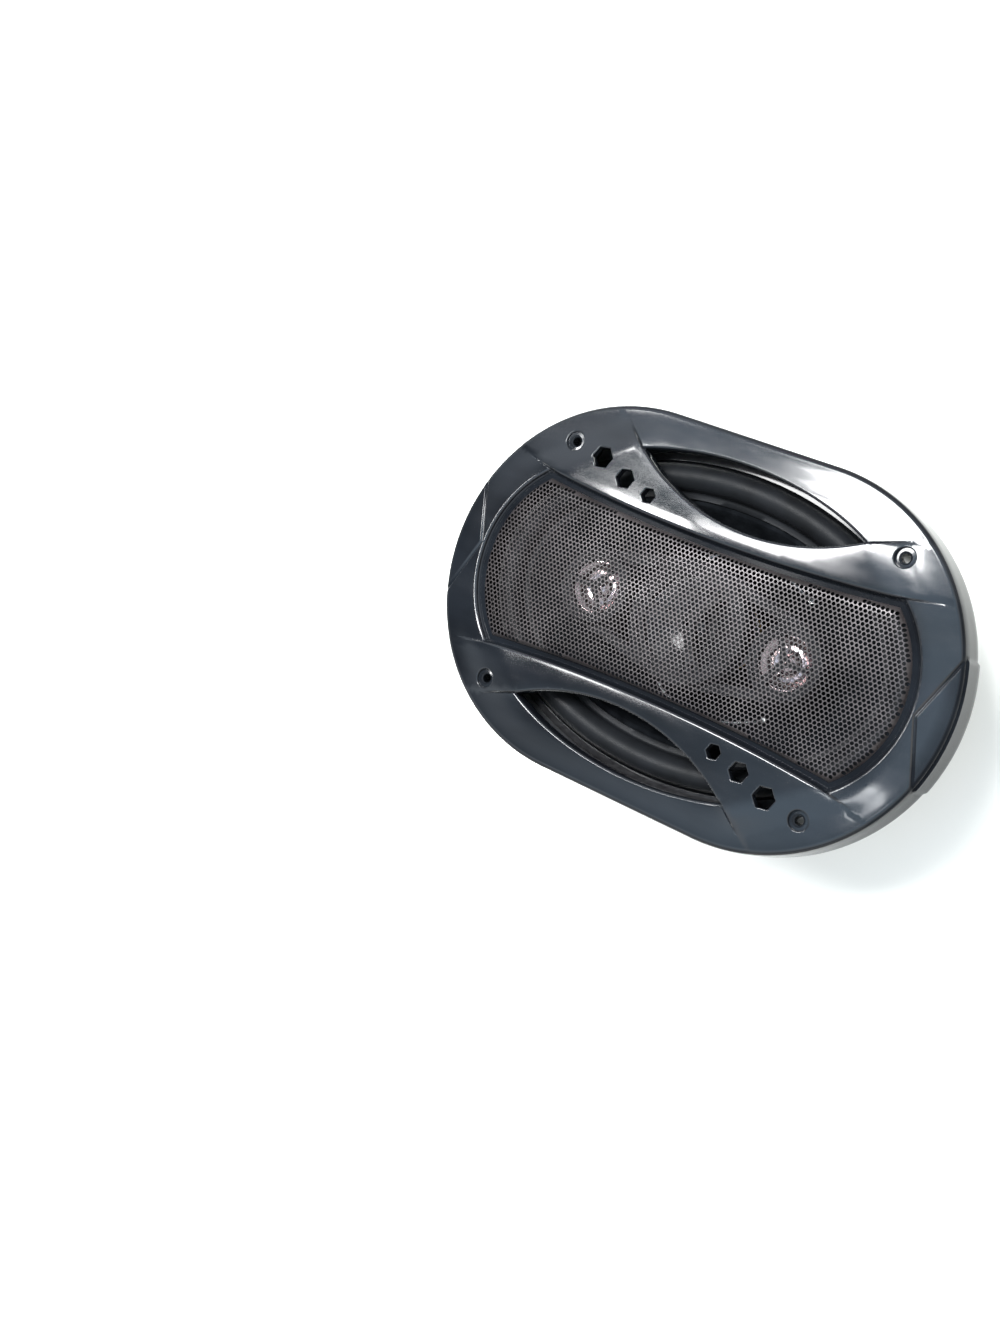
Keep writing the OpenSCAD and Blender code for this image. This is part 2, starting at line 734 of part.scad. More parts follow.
basket();
yoke();
magnet();
top_plate();
bridge_post();
post_screw();
bridge_screw();
spider();
surround();
surround_gasket();
bridge();
crossover_capacitors();
midrange_frame();
midrange_pot();
midrange_magnet();
midrange_guard();
tweeter_left_frame();
tweeter_left_pot();
tweeter_left_magnet();
tweeter_left_guard();
tweeter_right_frame();
tweeter_right_pot();
tweeter_right_magnet();
tweeter_right_guard();
terminal_board();
terminal_positive();
terminal_negative();
terminal_rivets();
tinsel_leads();
terminal_leads();
cone();
voice_coil_former();
voice_coil();
lead_eyelets();
midrange_cone();
midrange_coil();
tweeter_left_dome();
tweeter_left_coil();
tweeter_right_dome();
tweeter_right_coil();
grille_trim();
grille_mesh();
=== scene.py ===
"""Looks of the oval coaxial car speaker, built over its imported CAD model.

Shapes are worked out in millimetres and made in metres, in the frame of the CAD: origin at the centre of the
magnet's rear face, +X along the long axis, +Z out of the front.
"""
import json
import math

import bmesh
import bpy
import numpy as np
from mathutils import Matrix, Vector
from mathutils.geometry import delaunay_2d_cdt

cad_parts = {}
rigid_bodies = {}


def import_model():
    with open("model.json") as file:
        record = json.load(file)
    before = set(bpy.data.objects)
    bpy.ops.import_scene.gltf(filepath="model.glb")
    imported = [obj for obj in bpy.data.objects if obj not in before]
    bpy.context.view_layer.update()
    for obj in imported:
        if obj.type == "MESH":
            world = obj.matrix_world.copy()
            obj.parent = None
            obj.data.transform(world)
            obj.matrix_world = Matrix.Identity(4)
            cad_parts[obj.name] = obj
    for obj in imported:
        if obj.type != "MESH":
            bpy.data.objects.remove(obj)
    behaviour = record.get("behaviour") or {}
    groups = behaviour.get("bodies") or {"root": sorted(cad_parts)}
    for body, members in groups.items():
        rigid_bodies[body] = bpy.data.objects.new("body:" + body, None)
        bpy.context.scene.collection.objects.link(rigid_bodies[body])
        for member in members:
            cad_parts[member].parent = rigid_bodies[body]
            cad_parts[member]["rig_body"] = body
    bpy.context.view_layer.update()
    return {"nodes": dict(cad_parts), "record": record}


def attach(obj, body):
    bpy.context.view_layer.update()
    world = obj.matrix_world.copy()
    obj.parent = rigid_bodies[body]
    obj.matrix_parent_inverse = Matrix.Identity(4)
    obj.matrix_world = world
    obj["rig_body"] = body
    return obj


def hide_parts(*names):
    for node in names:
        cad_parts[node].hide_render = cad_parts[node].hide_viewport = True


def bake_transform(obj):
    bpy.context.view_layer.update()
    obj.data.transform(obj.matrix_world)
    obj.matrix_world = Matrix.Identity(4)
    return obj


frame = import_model()
NODES = frame["nodes"]
MM = 0.001

# ------------------------------------------------------------------ sizes, in mm

FLANGE_Z = 80.0
TRIM_Z = 100.0
BAND_Z = 98.4
UNDER_Z = 95.8
SKIRT_Z = 78.8
LIP_Z = 91.6
BOSS_Z = 80.4

TRIM_R = 85.2
TRIM_FLAT = 39.8
MESH_END_X = 52.0
MESH_END_R = 56.0
BOW_R = 785.0
BOW_Y = 822.4
LEDGE = 4.6
CRESCENT_AT = (13.3, 147.0)
CRESCENT_R = 101.5
CRESCENT_A = 109.0
CRESCENT_B = 73.0
CRESCENT_LIP = 1.4
SCREW_X = 82.0
SCREW_Y = 58.5
SCREW_R = 4.4
HOLE_R = 2.1
BOSS_R = 5.6
HEXES = [(-65.0, 55.6, 5.2), (-50.5, 50.0, 4.6), (-36.6, 46.4, 3.5)]
HEX_TURN = math.radians(9)
RECESS = 2.9
PROUD = 0.85
PROUD_ANGLE = 19.2
TAB_AT = (68.0, 68.2)
TAB_TURN = 8.4


# ------------------------------------------------------------------ materials

def new_material(name):
    mat = bpy.data.materials.new(name)
    mat.use_nodes = True
    tree = mat.node_tree
    return mat, tree, tree.nodes["Principled BSDF"]


def noise(tree, coords, scale, detail=3.0, rough=0.5, stretch=(1, 1, 1)):
    mapping = tree.nodes.new("ShaderNodeMapping")
    mapping.inputs["Scale"].default_value = stretch
    tree.links.new(coords.outputs["Object"], mapping.inputs["Vector"])
    tex = tree.nodes.new("ShaderNodeTexNoise")
    tex.inputs["Scale"].default_value = scale
    tex.inputs["Detail"].default_value = detail
    tex.inputs["Roughness"].default_value = rough
    tree.links.new(mapping.outputs["Vector"], tex.inputs["Vector"])
    return tex


def ramp(tree, source, low, high, from_low=0.35, from_high=0.65):
    node = tree.nodes.new("ShaderNodeMapRange")
    node.inputs["From Min"].default_value = from_low
    node.inputs["From Max"].default_value = from_high
    node.inputs["To Min"].default_value = low
    node.inputs["To Max"].default_value = high
    tree.links.new(source, node.inputs["Value"])
    return node.outputs["Result"]


def surface(name, dark, light, rough, scale=60.0, stretch=(1, 1, 1), metallic=0.0, specular=0.5,
            bumps=((900.0, 0.1, 0.00005),), coat=0.0, coat_rough=0.1, sheen=0.0, fibres=None):
    """A procedural material. rough is (smooth, rough); bumps are (scale, strength, height in metres)."""
    mat, tree, bsdf = new_material(name)
    coords = tree.nodes.new("ShaderNodeTexCoord")
    cloud = noise(tree, coords, scale, 4.0, 0.55, stretch)
    mix = tree.nodes.new("ShaderNodeMix")
    mix.data_type = "RGBA"
    mix.inputs[6].default_value = (*dark, 1)
    mix.inputs[7].default_value = (*light, 1)
    tree.links.new(ramp(tree, cloud.outputs["Fac"], 0.0, 1.0), mix.inputs[0])
    tree.links.new(mix.outputs[2], bsdf.inputs["Base Color"])
    haze = noise(tree, coords, scale * 1.7, 5.0, 0.6, stretch)
    tree.links.new(ramp(tree, haze.outputs["Fac"], rough[0], rough[1], 0.3, 0.7), bsdf.inputs["Roughness"])
    normal = None
    for bump_scale, strength, height in bumps:
        tex = noise(tree, coords, bump_scale, 2.0, 0.5, fibres or (1, 1, 1))
        bump = tree.nodes.new("ShaderNodeBump")
        bump.inputs["Strength"].default_value = strength
        bump.inputs["Distance"].default_value = height
        tree.links.new(tex.outputs["Fac"], bump.inputs["Height"])
        if normal:
            tree.links.new(normal, bump.inputs["Normal"])
        normal = bump.outputs["Normal"]
    if normal:
        tree.links.new(normal, bsdf.inputs["Normal"])
    bsdf.inputs["Metallic"].default_value = metallic
    bsdf.inputs["Specular IOR Level"].default_value = specular
    bsdf.inputs["Coat Weight"].default_value = coat
    bsdf.inputs["Coat Roughness"].default_value = coat_rough
    bsdf.inputs["Sheen Weight"].default_value = sheen
    return mat


MATERIALS = {
    "trim_gloss": surface(
        "trim_gloss", (0.003, 0.0036, 0.0048), (0.0055, 0.0068, 0.009), (0.07, 0.18), 26.0, (0.6, 1.5, 1),
        specular=0.6, bumps=((22.0, 0.35, 0.0006), (75.0, 0.12, 0.00015)), coat=0.25, coat_rough=0.05,
        fibres=(0.5, 1.7, 1)),
    "mesh_steel": surface(
        "mesh_steel", (0.034, 0.0305, 0.0315), (0.060, 0.054, 0.056), (0.22, 0.34), 45.0, metallic=0.5,
        bumps=((1500.0, 0.1, 0.00003),)),
    "black_steel": surface(
        "black_steel", (0.012, 0.0125, 0.014), (0.020, 0.0215, 0.024), (0.38, 0.55), 70.0, specular=0.3,
        bumps=((1400.0, 0.25, 0.00006), (60.0, 0.1, 0.0002))),
    "plated_steel": surface(
        "plated_steel", (0.45, 0.46, 0.48), (0.66, 0.67, 0.69), (0.22, 0.42), 90.0, metallic=1.0,
        bumps=((700.0, 0.12, 0.00004),)),
    "ferrite": surface(
        "ferrite", (0.030, 0.030, 0.033), (0.062, 0.060, 0.064), (0.55, 0.8), 120.0,
        bumps=((800.0, 0.5, 0.0001),)),
    "satin_plastic": surface(
        "satin_plastic", (0.006, 0.0065, 0.0075), (0.010, 0.0108, 0.0125), (0.30, 0.42), 80.0, specular=0.05,
        bumps=((2200.0, 0.3, 0.00005),)),
    "damper_cloth": surface(
        "damper_cloth", (0.42, 0.31, 0.10), (0.62, 0.48, 0.20), (0.7, 0.9), 200.0,
        bumps=((2600.0, 0.6, 0.0002),), sheen=0.3),
    "surround_rubber": surface(
        "surround_rubber", (0.004, 0.0044, 0.005), (0.006, 0.0067, 0.008), (0.36, 0.48), 60.0, specular=0.15,
        bumps=((1600.0, 0.25, 0.00005),)),
    "gasket_rubber": surface(
        "gasket_rubber", (0.003, 0.003, 0.0035), (0.006, 0.0062, 0.007), (0.35, 0.6), 150.0, specular=0.15,
        bumps=((160.0, 0.9, 0.0012),), coat=0.7, coat_rough=0.08),
    "capacitor_sleeve": surface(
        "capacitor_sleeve", (0.012, 0.03, 0.10), (0.02, 0.05, 0.16), (0.2, 0.3), 100.0),
    "phenolic_board": surface(
        "phenolic_board", (0.10, 0.045, 0.015), (0.17, 0.085, 0.03), (0.4, 0.6), 240.0, (0.3, 2, 1),
        bumps=((1200.0, 0.3, 0.00008),)),
    "tinned_metal": surface(
        "tinned_metal", (0.6, 0.6, 0.59), (0.78, 0.78, 0.76), (0.2, 0.4), 200.0, metallic=1.0,
        bumps=((900.0, 0.2, 0.00005),)),
    "tinsel_braid": surface(
        "tinsel_braid", (0.5, 0.5, 0.5), (0.85, 0.84, 0.82), (0.25, 0.45), 900.0, metallic=1.0,
        bumps=((2400.0, 0.9, 0.0003),)),
    "cone_fibre": surface(
        "cone_fibre", (0.002, 0.0024, 0.003), (0.0045, 0.0053, 0.0065), (0.6, 0.85), 160.0, specular=0.02,
        bumps=((1900.0, 0.6, 0.00015),)),
    "former_film": surface(
        "former_film", (0.34, 0.20, 0.06), (0.5, 0.32, 0.12), (0.25, 0.4), 120.0),
    "copper_wire": surface(
        "copper_wire", (0.45, 0.17, 0.07), (0.7, 0.3, 0.14), (0.25, 0.4), 500.0, (0.2, 0.2, 6), metallic=1.0,
        bumps=((1500.0, 0.6, 0.0002),), fibres=(0.05, 0.05, 2)),
    "midrange_film": surface(
        "midrange_film", (0.006, 0.0065, 0.0075), (0.014, 0.0145, 0.016), (0.06, 0.14), 120.0, specular=0.3,
        bumps=((300.0, 0.15, 0.0001),), coat=0.12),
    "tweeter_film": surface(
        "tweeter_film", (0.66, 0.52, 0.52), (0.92, 0.76, 0.76), (0.12, 0.26), 300.0, metallic=1.0,
        bumps=((500.0, 0.25, 0.0001),)),
}


def dull_below(mat, z, blend=0.0004):
    """Takes the gloss off a material below a height in metres."""
    tree = mat.node_tree
    bsdf = tree.nodes["Principled BSDF"]
    coords = tree.nodes.new("ShaderNodeTexCoord")
    split = tree.nodes.new("ShaderNodeSeparateXYZ")
    tree.links.new(coords.outputs["Object"], split.inputs["Vector"])
    for name in ("Specular IOR Level", "Coat Weight"):
        full = bsdf.inputs[name].default_value
        level = ramp(tree, split.outputs["Z"], 0.06 * full, full, z - blend, z + blend)
        tree.links.new(level, bsdf.inputs[name])


def paint(obj, slot):
    """Gives the object one of the record's material slots."""
    obj.data.materials.clear()
    obj.data.materials.append(MATERIALS[slot])
    for poly in obj.data.polygons:
        poly.material_index = 0


# ------------------------------------------------------------------ mesh building

def new_object(name, mesh, slot):
    obj = bpy.data.objects.new(name, mesh)
    bpy.context.scene.collection.objects.link(obj)
    paint(obj, slot)
    return obj


def build(name, points, faces, slot, sharp=35.0, normals=None):
    """A mesh object from points in mm. normals gives some vertices of some faces their exact direction."""
    mesh = bpy.data.meshes.new(name)
    mesh.from_pydata((np.asarray(points, float) * MM).tolist(), [], faces)
    mesh.validate()
    mesh.polygons.foreach_set("use_smooth", np.ones(len(mesh.polygons), bool))
    mesh.set_sharp_from_angle(angle=math.radians(sharp))
    if normals is not None:
        mesh.normals_split_custom_set(normals(mesh))
    mesh.update()
    return new_object(name, mesh, slot)


class Shape:
    """Collects loops of points and the faces between them."""

    def __init__(self):
        self.points = []
        self.faces = []

    def add(self, points):
        start = len(self.points)
        self.points.extend(tuple(p) for p in points)
        return list(range(start, len(self.points)))

    def loop(self, xy, z):
        z = np.broadcast_to(np.asarray(z, float), (len(xy),))
        return self.add(np.column_stack([xy, z]))

    def band(self, a, b):
        n = len(a)
        for i in range(n):
            j = (i + 1) % n
            self.faces.append((a[i], a[j], b[j], b[i]))

    def bands(self, loops):
        for a, b in zip(loops, loops[1:]):
            self.band(a, b)

    def cap(self, loop):
        self.faces.append(tuple(loop))


def oval_sweep(shape, profile, n=192):
    """Sweeps a closed profile of (half length, half width, z) round the oval."""
    angles = np.arange(n) * 2 * np.pi / n
    rings = [shape.loop(np.column_stack([a * np.cos(angles), b * np.sin(angles)]), z) for a, b, z in profile]
    shape.bands(rings + rings[:1])


def revolve(shape, profile, n=96):
    """Turns a closed profile of (radius, z) about an upright axis."""
    oval_sweep(shape, [(r, r, z) for r, z in profile], n)


def tidy_normals(obj):
    """Turns all faces to point outwards."""
    work = bmesh.new()
    work.from_mesh(obj.data)
    bmesh.ops.recalc_face_normals(work, faces=work.faces)
    work.to_mesh(obj.data)
    work.free()


# ------------------------------------------------------------------ the trim's outlines

def rotated(xy, turn):
    c, s = math.cos(turn), math.sin(turn)
    return np.column_stack([xy[:, 0] * c - xy[:, 1] * s, xy[:, 0] * s + xy[:, 1] * c])


def arc(cx, cy, r, start, end, n):
    a = np.linspace(start, end, n, endpoint=False)
    return np.column_stack([cx + r * np.cos(a), cy + r * np.sin(a)])


def stadium(out=0.0, segments=190, flats=52):
    r = TRIM_R + out
    half = math.pi / 2
    x = np.linspace(TRIM_FLAT, -TRIM_FLAT, flats, endpoint=False)
    return np.vstack([
        arc(TRIM_FLAT, 0, r, -half, half, segments),
        np.column_stack([x, np.full(flats, r)]),
        arc(-TRIM_FLAT, 0, r, half, 3 * half, segments),
        np.column_stack([-x, np.full(flats, -r)]),
    ])


def crossing(ax, ay, ar, bx, by, br):
    """The crossing of two circles that lies nearer to +X."""
    d = math.hypot(bx - ax, by - ay)
    along = (ar * ar - br * br + d * d) / (2 * d)
    off = math.sqrt(max(ar * ar - along * along, 0))
    ux, uy = (bx - ax) / d, (by - ay) / d
    first = (ax + along * ux + off * uy, ay + along * uy - off * ux)
    second = (ax + along * ux - off * uy, ay + along * uy + off * ux)
    return max(first, second)


def mesh_outline(out=0.0, ends=100, sides=120):
    end_r, bow_r = MESH_END_R + out, BOW_R - out
    corner = crossing(MESH_END_X, 0, end_r, 0, BOW_Y, bow_r)
    a = math.atan2(corner[1], corner[0] - MESH_END_X)
    b = math.atan2(corner[0], BOW_Y - corner[1])
    right = arc(MESH_END_X, 0, end_r, -a, a, ends)
    t = np.linspace(b, -b, sides, endpoint=False)
    top = np.column_stack([bow_r * np.sin(t), BOW_Y - bow_r * np.cos(t)])
    return np.vstack([right, top, -right, -top])


def crescent(out=0.0, lower=84, upper=92):
    """The upper crescent's outline; the lower one is the same, turned by half a turn."""
    a, b, r = CRESCENT_A + out, CRESCENT_B + out, CRESCENT_R + out
    t = np.linspace(0.3, 2.6, 4000)
    inside = np.hypot(a * np.cos(t) - CRESCENT_AT[0], b * np.sin(t) - CRESCENT_AT[1]) < r
    t0, t1 = t[inside][0], t[inside][-1]
    tt = np.linspace(t0, t1, upper, endpoint=False)
    top = np.column_stack([a * np.cos(tt), b * np.sin(tt)])
    left = math.atan2(b * math.sin(t1) - CRESCENT_AT[1], a * math.cos(t1) - CRESCENT_AT[0])
    right = math.atan2(b * math.sin(t0) - CRESCENT_AT[1], a * math.cos(t0) - CRESCENT_AT[0])
    under = arc(*CRESCENT_AT, r, left, right, lower)
    return np.vstack([top, under])


def hexagon(cx, cy, r, steps=5):
    turns = [HEX_TURN + k * math.pi / 3 for k in range(6)]
    corners = [(cx + r * math.cos(a), cy + r * math.sin(a)) for a in turns]
    out = []
    for k in range(6):
        (x0, y0), (x1, y1) = corners[k], corners[(k + 1) % 6]
        out += [(x0 + (x1 - x0) * i / steps, y0 + (y1 - y0) * i / steps) for i in range(steps)]
    return np.array(out)


def circle(cx, cy, r, n=40):
    return arc(cx, cy, r, 0, 2 * math.pi, n)


# ------------------------------------------------------------------ distances, positive on the plastic

def smooth(t):
    t = np.clip(t, 0, 1)
    return t * t * (3 - 2 * t)


def from_outer(x, y):
    return TRIM_R - np.hypot(x - np.clip(x, -TRIM_FLAT, TRIM_FLAT), y)


def from_mesh(x, y):
    ends = np.hypot(x - np.clip(x, -MESH_END_X, MESH_END_X), y) - MESH_END_R
    return np.maximum(ends, BOW_R - np.hypot(x, BOW_Y - np.abs(y)))


def from_upper_crescent(x, y):
    bowl = np.hypot(x - CRESCENT_AT[0], y - CRESCENT_AT[1]) - CRESCENT_R
    k = np.hypot(x / CRESCENT_A, y / CRESCENT_B)
    slope = np.hypot(x / CRESCENT_A ** 2, y / CRESCENT_B ** 2) + 1e-9
    return bowl, (k - 1) * k / slope


def from_crescents(x, y):
    b1, e1 = from_upper_crescent(x, y)
    b2, e2 = from_upper_crescent(-x, -y)
    return np.minimum(np.maximum(b1, e1), np.maximum(b2, e2))


def from_hexes(x, y):
    best = np.full(np.shape(x), 1e3)
    for cx, cy, r in HEXES:
        for s in (1, -1):
            dx, dy = x - s * cx, y - s * cy
            far = np.full(np.shape(x), -1e3)
            for k in range(6):
                a = HEX_TURN + math.pi / 6 + k * math.pi / 3
                far = np.maximum(far, dx * math.cos(a) + dy * math.sin(a))
            best = np.minimum(best, far - r * math.cos(math.pi / 6))
    return best


def from_screws(x, y):
    return np.hypot(np.abs(x) - SCREW_X, np.abs(y) - SCREW_Y) - SCREW_R


# Creases of a wing, as (point, point), with the wing on the left of each
CREASES = {
    "mesh": ((88.7, 42.4), (102.0, 45.5)),
    "right": ((81.0, 65.4), (64.0, 59.1)),
    "left": ((-47.5, 65.7), (-60.0, 76.0)),
}
# How a wing's rise fades out towards an end: a point there, the way out, how far before it the fade starts,
# and the fade's length
FADE_RIGHT = ((82.0, 66.0), (20.5, 21.0), 20.0, 22.0)
FADE_LEFT = ((-60.0, 76.5), (-30.9, 42.5), 16.0, 16.0)


def beside(line, x, y):
    (x0, y0), (x1, y1) = line
    length = math.hypot(x1 - x0, y1 - y0)
    return ((x1 - x0) * (y - y0) - (y1 - y0) * (x - x0)) / length


def beyond(line, end, x, y):
    """Tells by its sign whether a point is past one end of a line, in the line's direction."""
    (x0, y0), (x1, y1) = line
    return (x1 - x0) * (x - end[0]) + (y1 - y0) * (y - end[1])


def unfaded(fade, x, y):
    """The part of a wing's rise that one of its ends leaves at a point."""
    (px, py), (dx, dy), start, length = fade
    past = ((x - px) * dx + (y - py) * dy) / math.hypot(dx, dy)
    return 1 - smooth((past + start) / length)


def wing_side(x, y):
    """How far a point is inside the wing, past its nearest crease, and how much of its rise is left there."""
    half = np.where(y < 0, -1.0, 1.0)
    x, y = x * half, y * half
    low = beside(CREASES["mesh"], np.abs(x), y)
    top = np.where(x > 8, beside(CREASES["right"], x, y), beside(CREASES["left"], x, y))
    # between the two corners of the crescent there is no crease, only the crescent
    right_end, left_end = CREASES["right"][1], CREASES["left"][0]
    corner = np.minimum(*[np.hypot(x - end[0], y - end[1]) for end in (right_end, left_end)])
    bowl, _ = from_upper_crescent(x, y)
    between = beyond(CREASES["right"], right_end, x, y) > 0
    between &= beyond(CREASES["left"], left_end, x, y) < 0
    top = np.where(between, np.where(bowl > 0, corner, -corner), top)
    return np.minimum(low, top), unfaded(FADE_RIGHT, x, y) * unfaded(FADE_LEFT, x, y)


GROOVE = ((110.3, 0.0), (120.3, 28.6))
GROOVE_HALF = 1.0
GROOVE_DEPTH = 1.1
GROOVE_STEP = 0.4

RIM_DROP = 1.15
RIM_DROP_WIDTH = 17.5
CREASE_WIDTH = 1.1
CREASE_LIFT = 0.5
CREASE_LIFT_WIDTH = 3.5
CROWN = 0.2
MESH_EDGE_R = 1.3


def groove(x, y):
    """Distance from the V groove, positive on its outer side."""
    return -beside(GROOVE, np.abs(x), np.abs(y))


def fillet(d, r):
    """Drop of a rounded edge of radius r at a distance d inside it."""
    e = r - np.clip(d, 0, r)
    return r - np.sqrt(np.maximum(r * r - e * e, 0))


def trim_height(x, y):
    outer, mesh, cres = from_outer(x, y), from_mesh(x, y), from_crescents(x, y)
    wing, left = wing_side(x, y)
    z = BAND_Z + (TRIM_Z - BAND_Z) * smooth(wing / CREASE_WIDTH) * left
    # the outer band and the ends fall away towards the rim, and rise a little where they meet a wing
    z = z - RIM_DROP * (1 - smooth(outer / RIM_DROP_WIDTH))
    z = z + CREASE_LIFT * np.exp(-np.maximum(-wing, 0) / CREASE_LIFT_WIDTH) * (wing < 0) * left
    # wings are a little crowned
    crown = np.minimum(mesh, cres)
    z = z + CROWN * (1 - np.exp(-np.maximum(crown, 0) / 2)) * smooth(wing / 3)
    g = groove(x, y)
    z = z - GROOVE_STEP * smooth(g / 0.8) - GROOVE_DEPTH * np.clip(1 - np.abs(g) / GROOVE_HALF, 0, 1)
    # every edge is rounded, each with its own radius
    z = z - fillet(outer, 2.2) - fillet(cres, 1.3)
    z = z - fillet(from_hexes(x, y), 0.5) - fillet(from_screws(x, y), 0.6)
    rim = z - fillet(mesh, MESH_EDGE_R)
    wall = smooth(-mesh / MESH_EDGE_R)
    ledge = UNDER_Z + 0.6
    return np.where(mesh >= 0, rim, rim * (1 - wall) + ledge * wall)


def trim_normals(x, y):
    e = 0.04
    gx = (trim_height(x + e, y) - trim_height(x - e, y)) / (2 * e)
    gy = (trim_height(x, y + e) - trim_height(x, y - e)) / (2 * e)
    n = np.column_stack([-gx, -gy, np.ones_like(gx)])
    return n / np.linalg.norm(n, axis=1)[:, None]


def triangulate(loops, extra):
    """Delaunay triangles of the area inside the first loop and outside the others.

    Gives the points, the triangles and, for each loop, the places of its points among them.
    """
    points = [Vector(p) for loop in loops for p in loop] + [Vector(p) for p in extra]
    faces, at = [], 0
    for loop in loops:
        faces.append(list(range(at, at + len(loop))))
        at += len(loop)
    found, _, triangles, point_sources, _, sources = delaunay_2d_cdt(points, [], faces, 1, 1e-5, True)
    xy = np.array([tuple(v) for v in found])
    tris = [f for f, source in zip(triangles, sources) if set(source) == {0}]
    place = {old: new for new, olds in enumerate(point_sources) for old in olds}
    return xy, tris, [[place[i] for i in face] for face in faces]


def grid(step, keep):
    """Points of a staggered grid over the trim that keep() accepts."""
    xs = np.arange(-128, 128, step)
    rows = []
    for i, y in enumerate(np.arange(-88, 88, step * 0.866)):
        rows.append(np.column_stack([xs + (i % 2) * step / 2, np.full(len(xs), y)]))
    xy = np.vstack(rows)
    return xy[keep(xy[:, 0], xy[:, 1])]


CORNERS = [(1, 1), (1, -1), (-1, 1), (-1, -1)]


def hex_outlines(out=0.0):
    """Outlines of the six hexagonal holes, their flats moved out."""
    grow = out / math.cos(math.pi / 6)
    pairs = [(hexagon(cx, cy, r + grow), hexagon(-cx, -cy, r + grow)) for cx, cy, r in HEXES]
    return [outline for pair in pairs for outline in pair]


def screw_circles(r):
    return [circle(sx * SCREW_X, sy * SCREW_Y, r) for sx, sy in CORNERS]


def crease_rows():
    """Rows of points along the creases and the grooves, on both sides of each."""
    out = []
    for line in [*CREASES.values(), GROOVE]:
        (x0, y0), (x1, y1) = line
        length = math.hypot(x1 - x0, y1 - y0)
        nx, ny = -(y1 - y0) / length, (x1 - x0) / length
        t = np.linspace(-0.02, 1.12, int(length / 0.7))
        on_both_sides = line in (CREASES["mesh"], GROOVE)
        for off in (-3, -2, -1.2, -0.8, -0.5, -0.25, 0, 0.25, 0.5, 0.8, 1.1, 1.5):
            row = np.column_stack([x0 + (x1 - x0) * t + nx * off, y0 + (y1 - y0) * t + ny * off])
            flip = row * (-1, 1) if on_both_sides else row
            out += [row, -row, flip, -flip]
    return out


def front_points():
    """Points for the trim's face: close together round every edge and crease, and an even grid elsewhere."""
    near = [stadium(out) for out in (-0.25, -0.65, -1.2, -1.8, -2.4, -4.0)]
    near += [mesh_outline(out) for out in (1.5, 1.1, 0.7, 0.35, 0.12, 0.0, -0.3, -0.65, -1.0, -1.4)]
    for out in (0.15, 0.4, 0.75, 1.3):
        near += [crescent(out), -crescent(out)]
    for out in (0.2, 0.6):
        near += hex_outlines(out)
    for out in (0.15, 0.35, 0.65):
        near += screw_circles(SCREW_R + out)
    near = np.vstack(near + crease_rows())
    x, y = near[:, 0], near[:, 1]
    keep = (from_outer(x, y) > 0.12) & (from_mesh(x, y) > -LEDGE + 0.2) & (from_crescents(x, y) > 0.1)
    keep &= (from_hexes(x, y) > 0.1) & (from_screws(x, y) > 0.1)
    inner = grid(2.6, lambda x, y: (from_outer(x, y) > 4.6) & (from_mesh(x, y) > 2.2)
                 & (from_crescents(x, y) > 2) & (from_hexes(x, y) > 1.3) & (from_screws(x, y) > 1.3))
    return np.vstack([near[keep], inner])


def under_points():
    return grid(6.0, lambda x, y: (from_outer(x, y) > 5) & (from_mesh(x, y) > -LEDGE + 1.5)
                & (from_crescents(x, y) > 3.4) & (from_hexes(x, y) > 1.5) & (from_screws(x, y) > 3))


def add_skirt(shape, rim, under):
    """The outer wall, which flares a little towards its foot; the middle of each end stands proud."""
    ring = stadium()
    angle = np.degrees(np.arctan2(np.abs(ring[:, 1]), np.abs(ring[:, 0]) - TRIM_FLAT))
    proud = np.where((np.abs(ring[:, 0]) > TRIM_FLAT) & (angle < PROUD_ANGLE), PROUD, 0.0)
    outward = stadium(1.0) - ring
    walls = [rim]
    for z, out in ((93.6, 0.25), (90.0, 0.45), (86.0, 0.7), (82.0, 0.95), (79.6, 1.1), (SKIRT_Z, 1.0)):
        walls.append(shape.loop(ring + outward * (out + proud)[:, None], z))
    walls.append(shape.loop(stadium(-0.9), SKIRT_Z))
    walls.append(shape.loop(stadium(-1.6), SKIRT_Z + 4))
    shape.bands([*walls, under])


def add_screw_hole(shape, x, y, rim, under):
    """A recess with a small raised ring round its hole, and the boss below."""
    floor = TRIM_Z - RECESS
    rings = [rim]
    for r, z in ((SCREW_R, floor), (2.9, floor + 0.1), (2.75, floor - 0.15), (HOLE_R, floor - 0.5),
                 (HOLE_R, BOSS_Z), (BOSS_R, BOSS_Z)):
        rings.append(shape.loop(circle(x, y, r), z))
    shape.bands([*rings, under])


def add_snap_tab(shape, sx, sy):
    """A plain blade with a tapered tip."""
    turn = math.radians(-sx * sy * TAB_TURN)
    loops = []
    sections = ((2.4, 0.45, UNDER_Z + 0.2), (2.4, 0.45, 79.0), (2.4, 0.45, 77.8), (2.0, 0.3, 77.0))
    for half_x, half_y, z in sections:
        box = np.array([(-half_x, -half_y), (half_x, -half_y), (half_x, half_y), (-half_x, half_y)])
        loops.append(shape.loop(rotated(box, turn) + (sx * TAB_AT[0], sy * TAB_AT[1]), z))
    shape.bands(loops)
    shape.cap(loops[0][::-1])
    shape.cap(loops[-1])


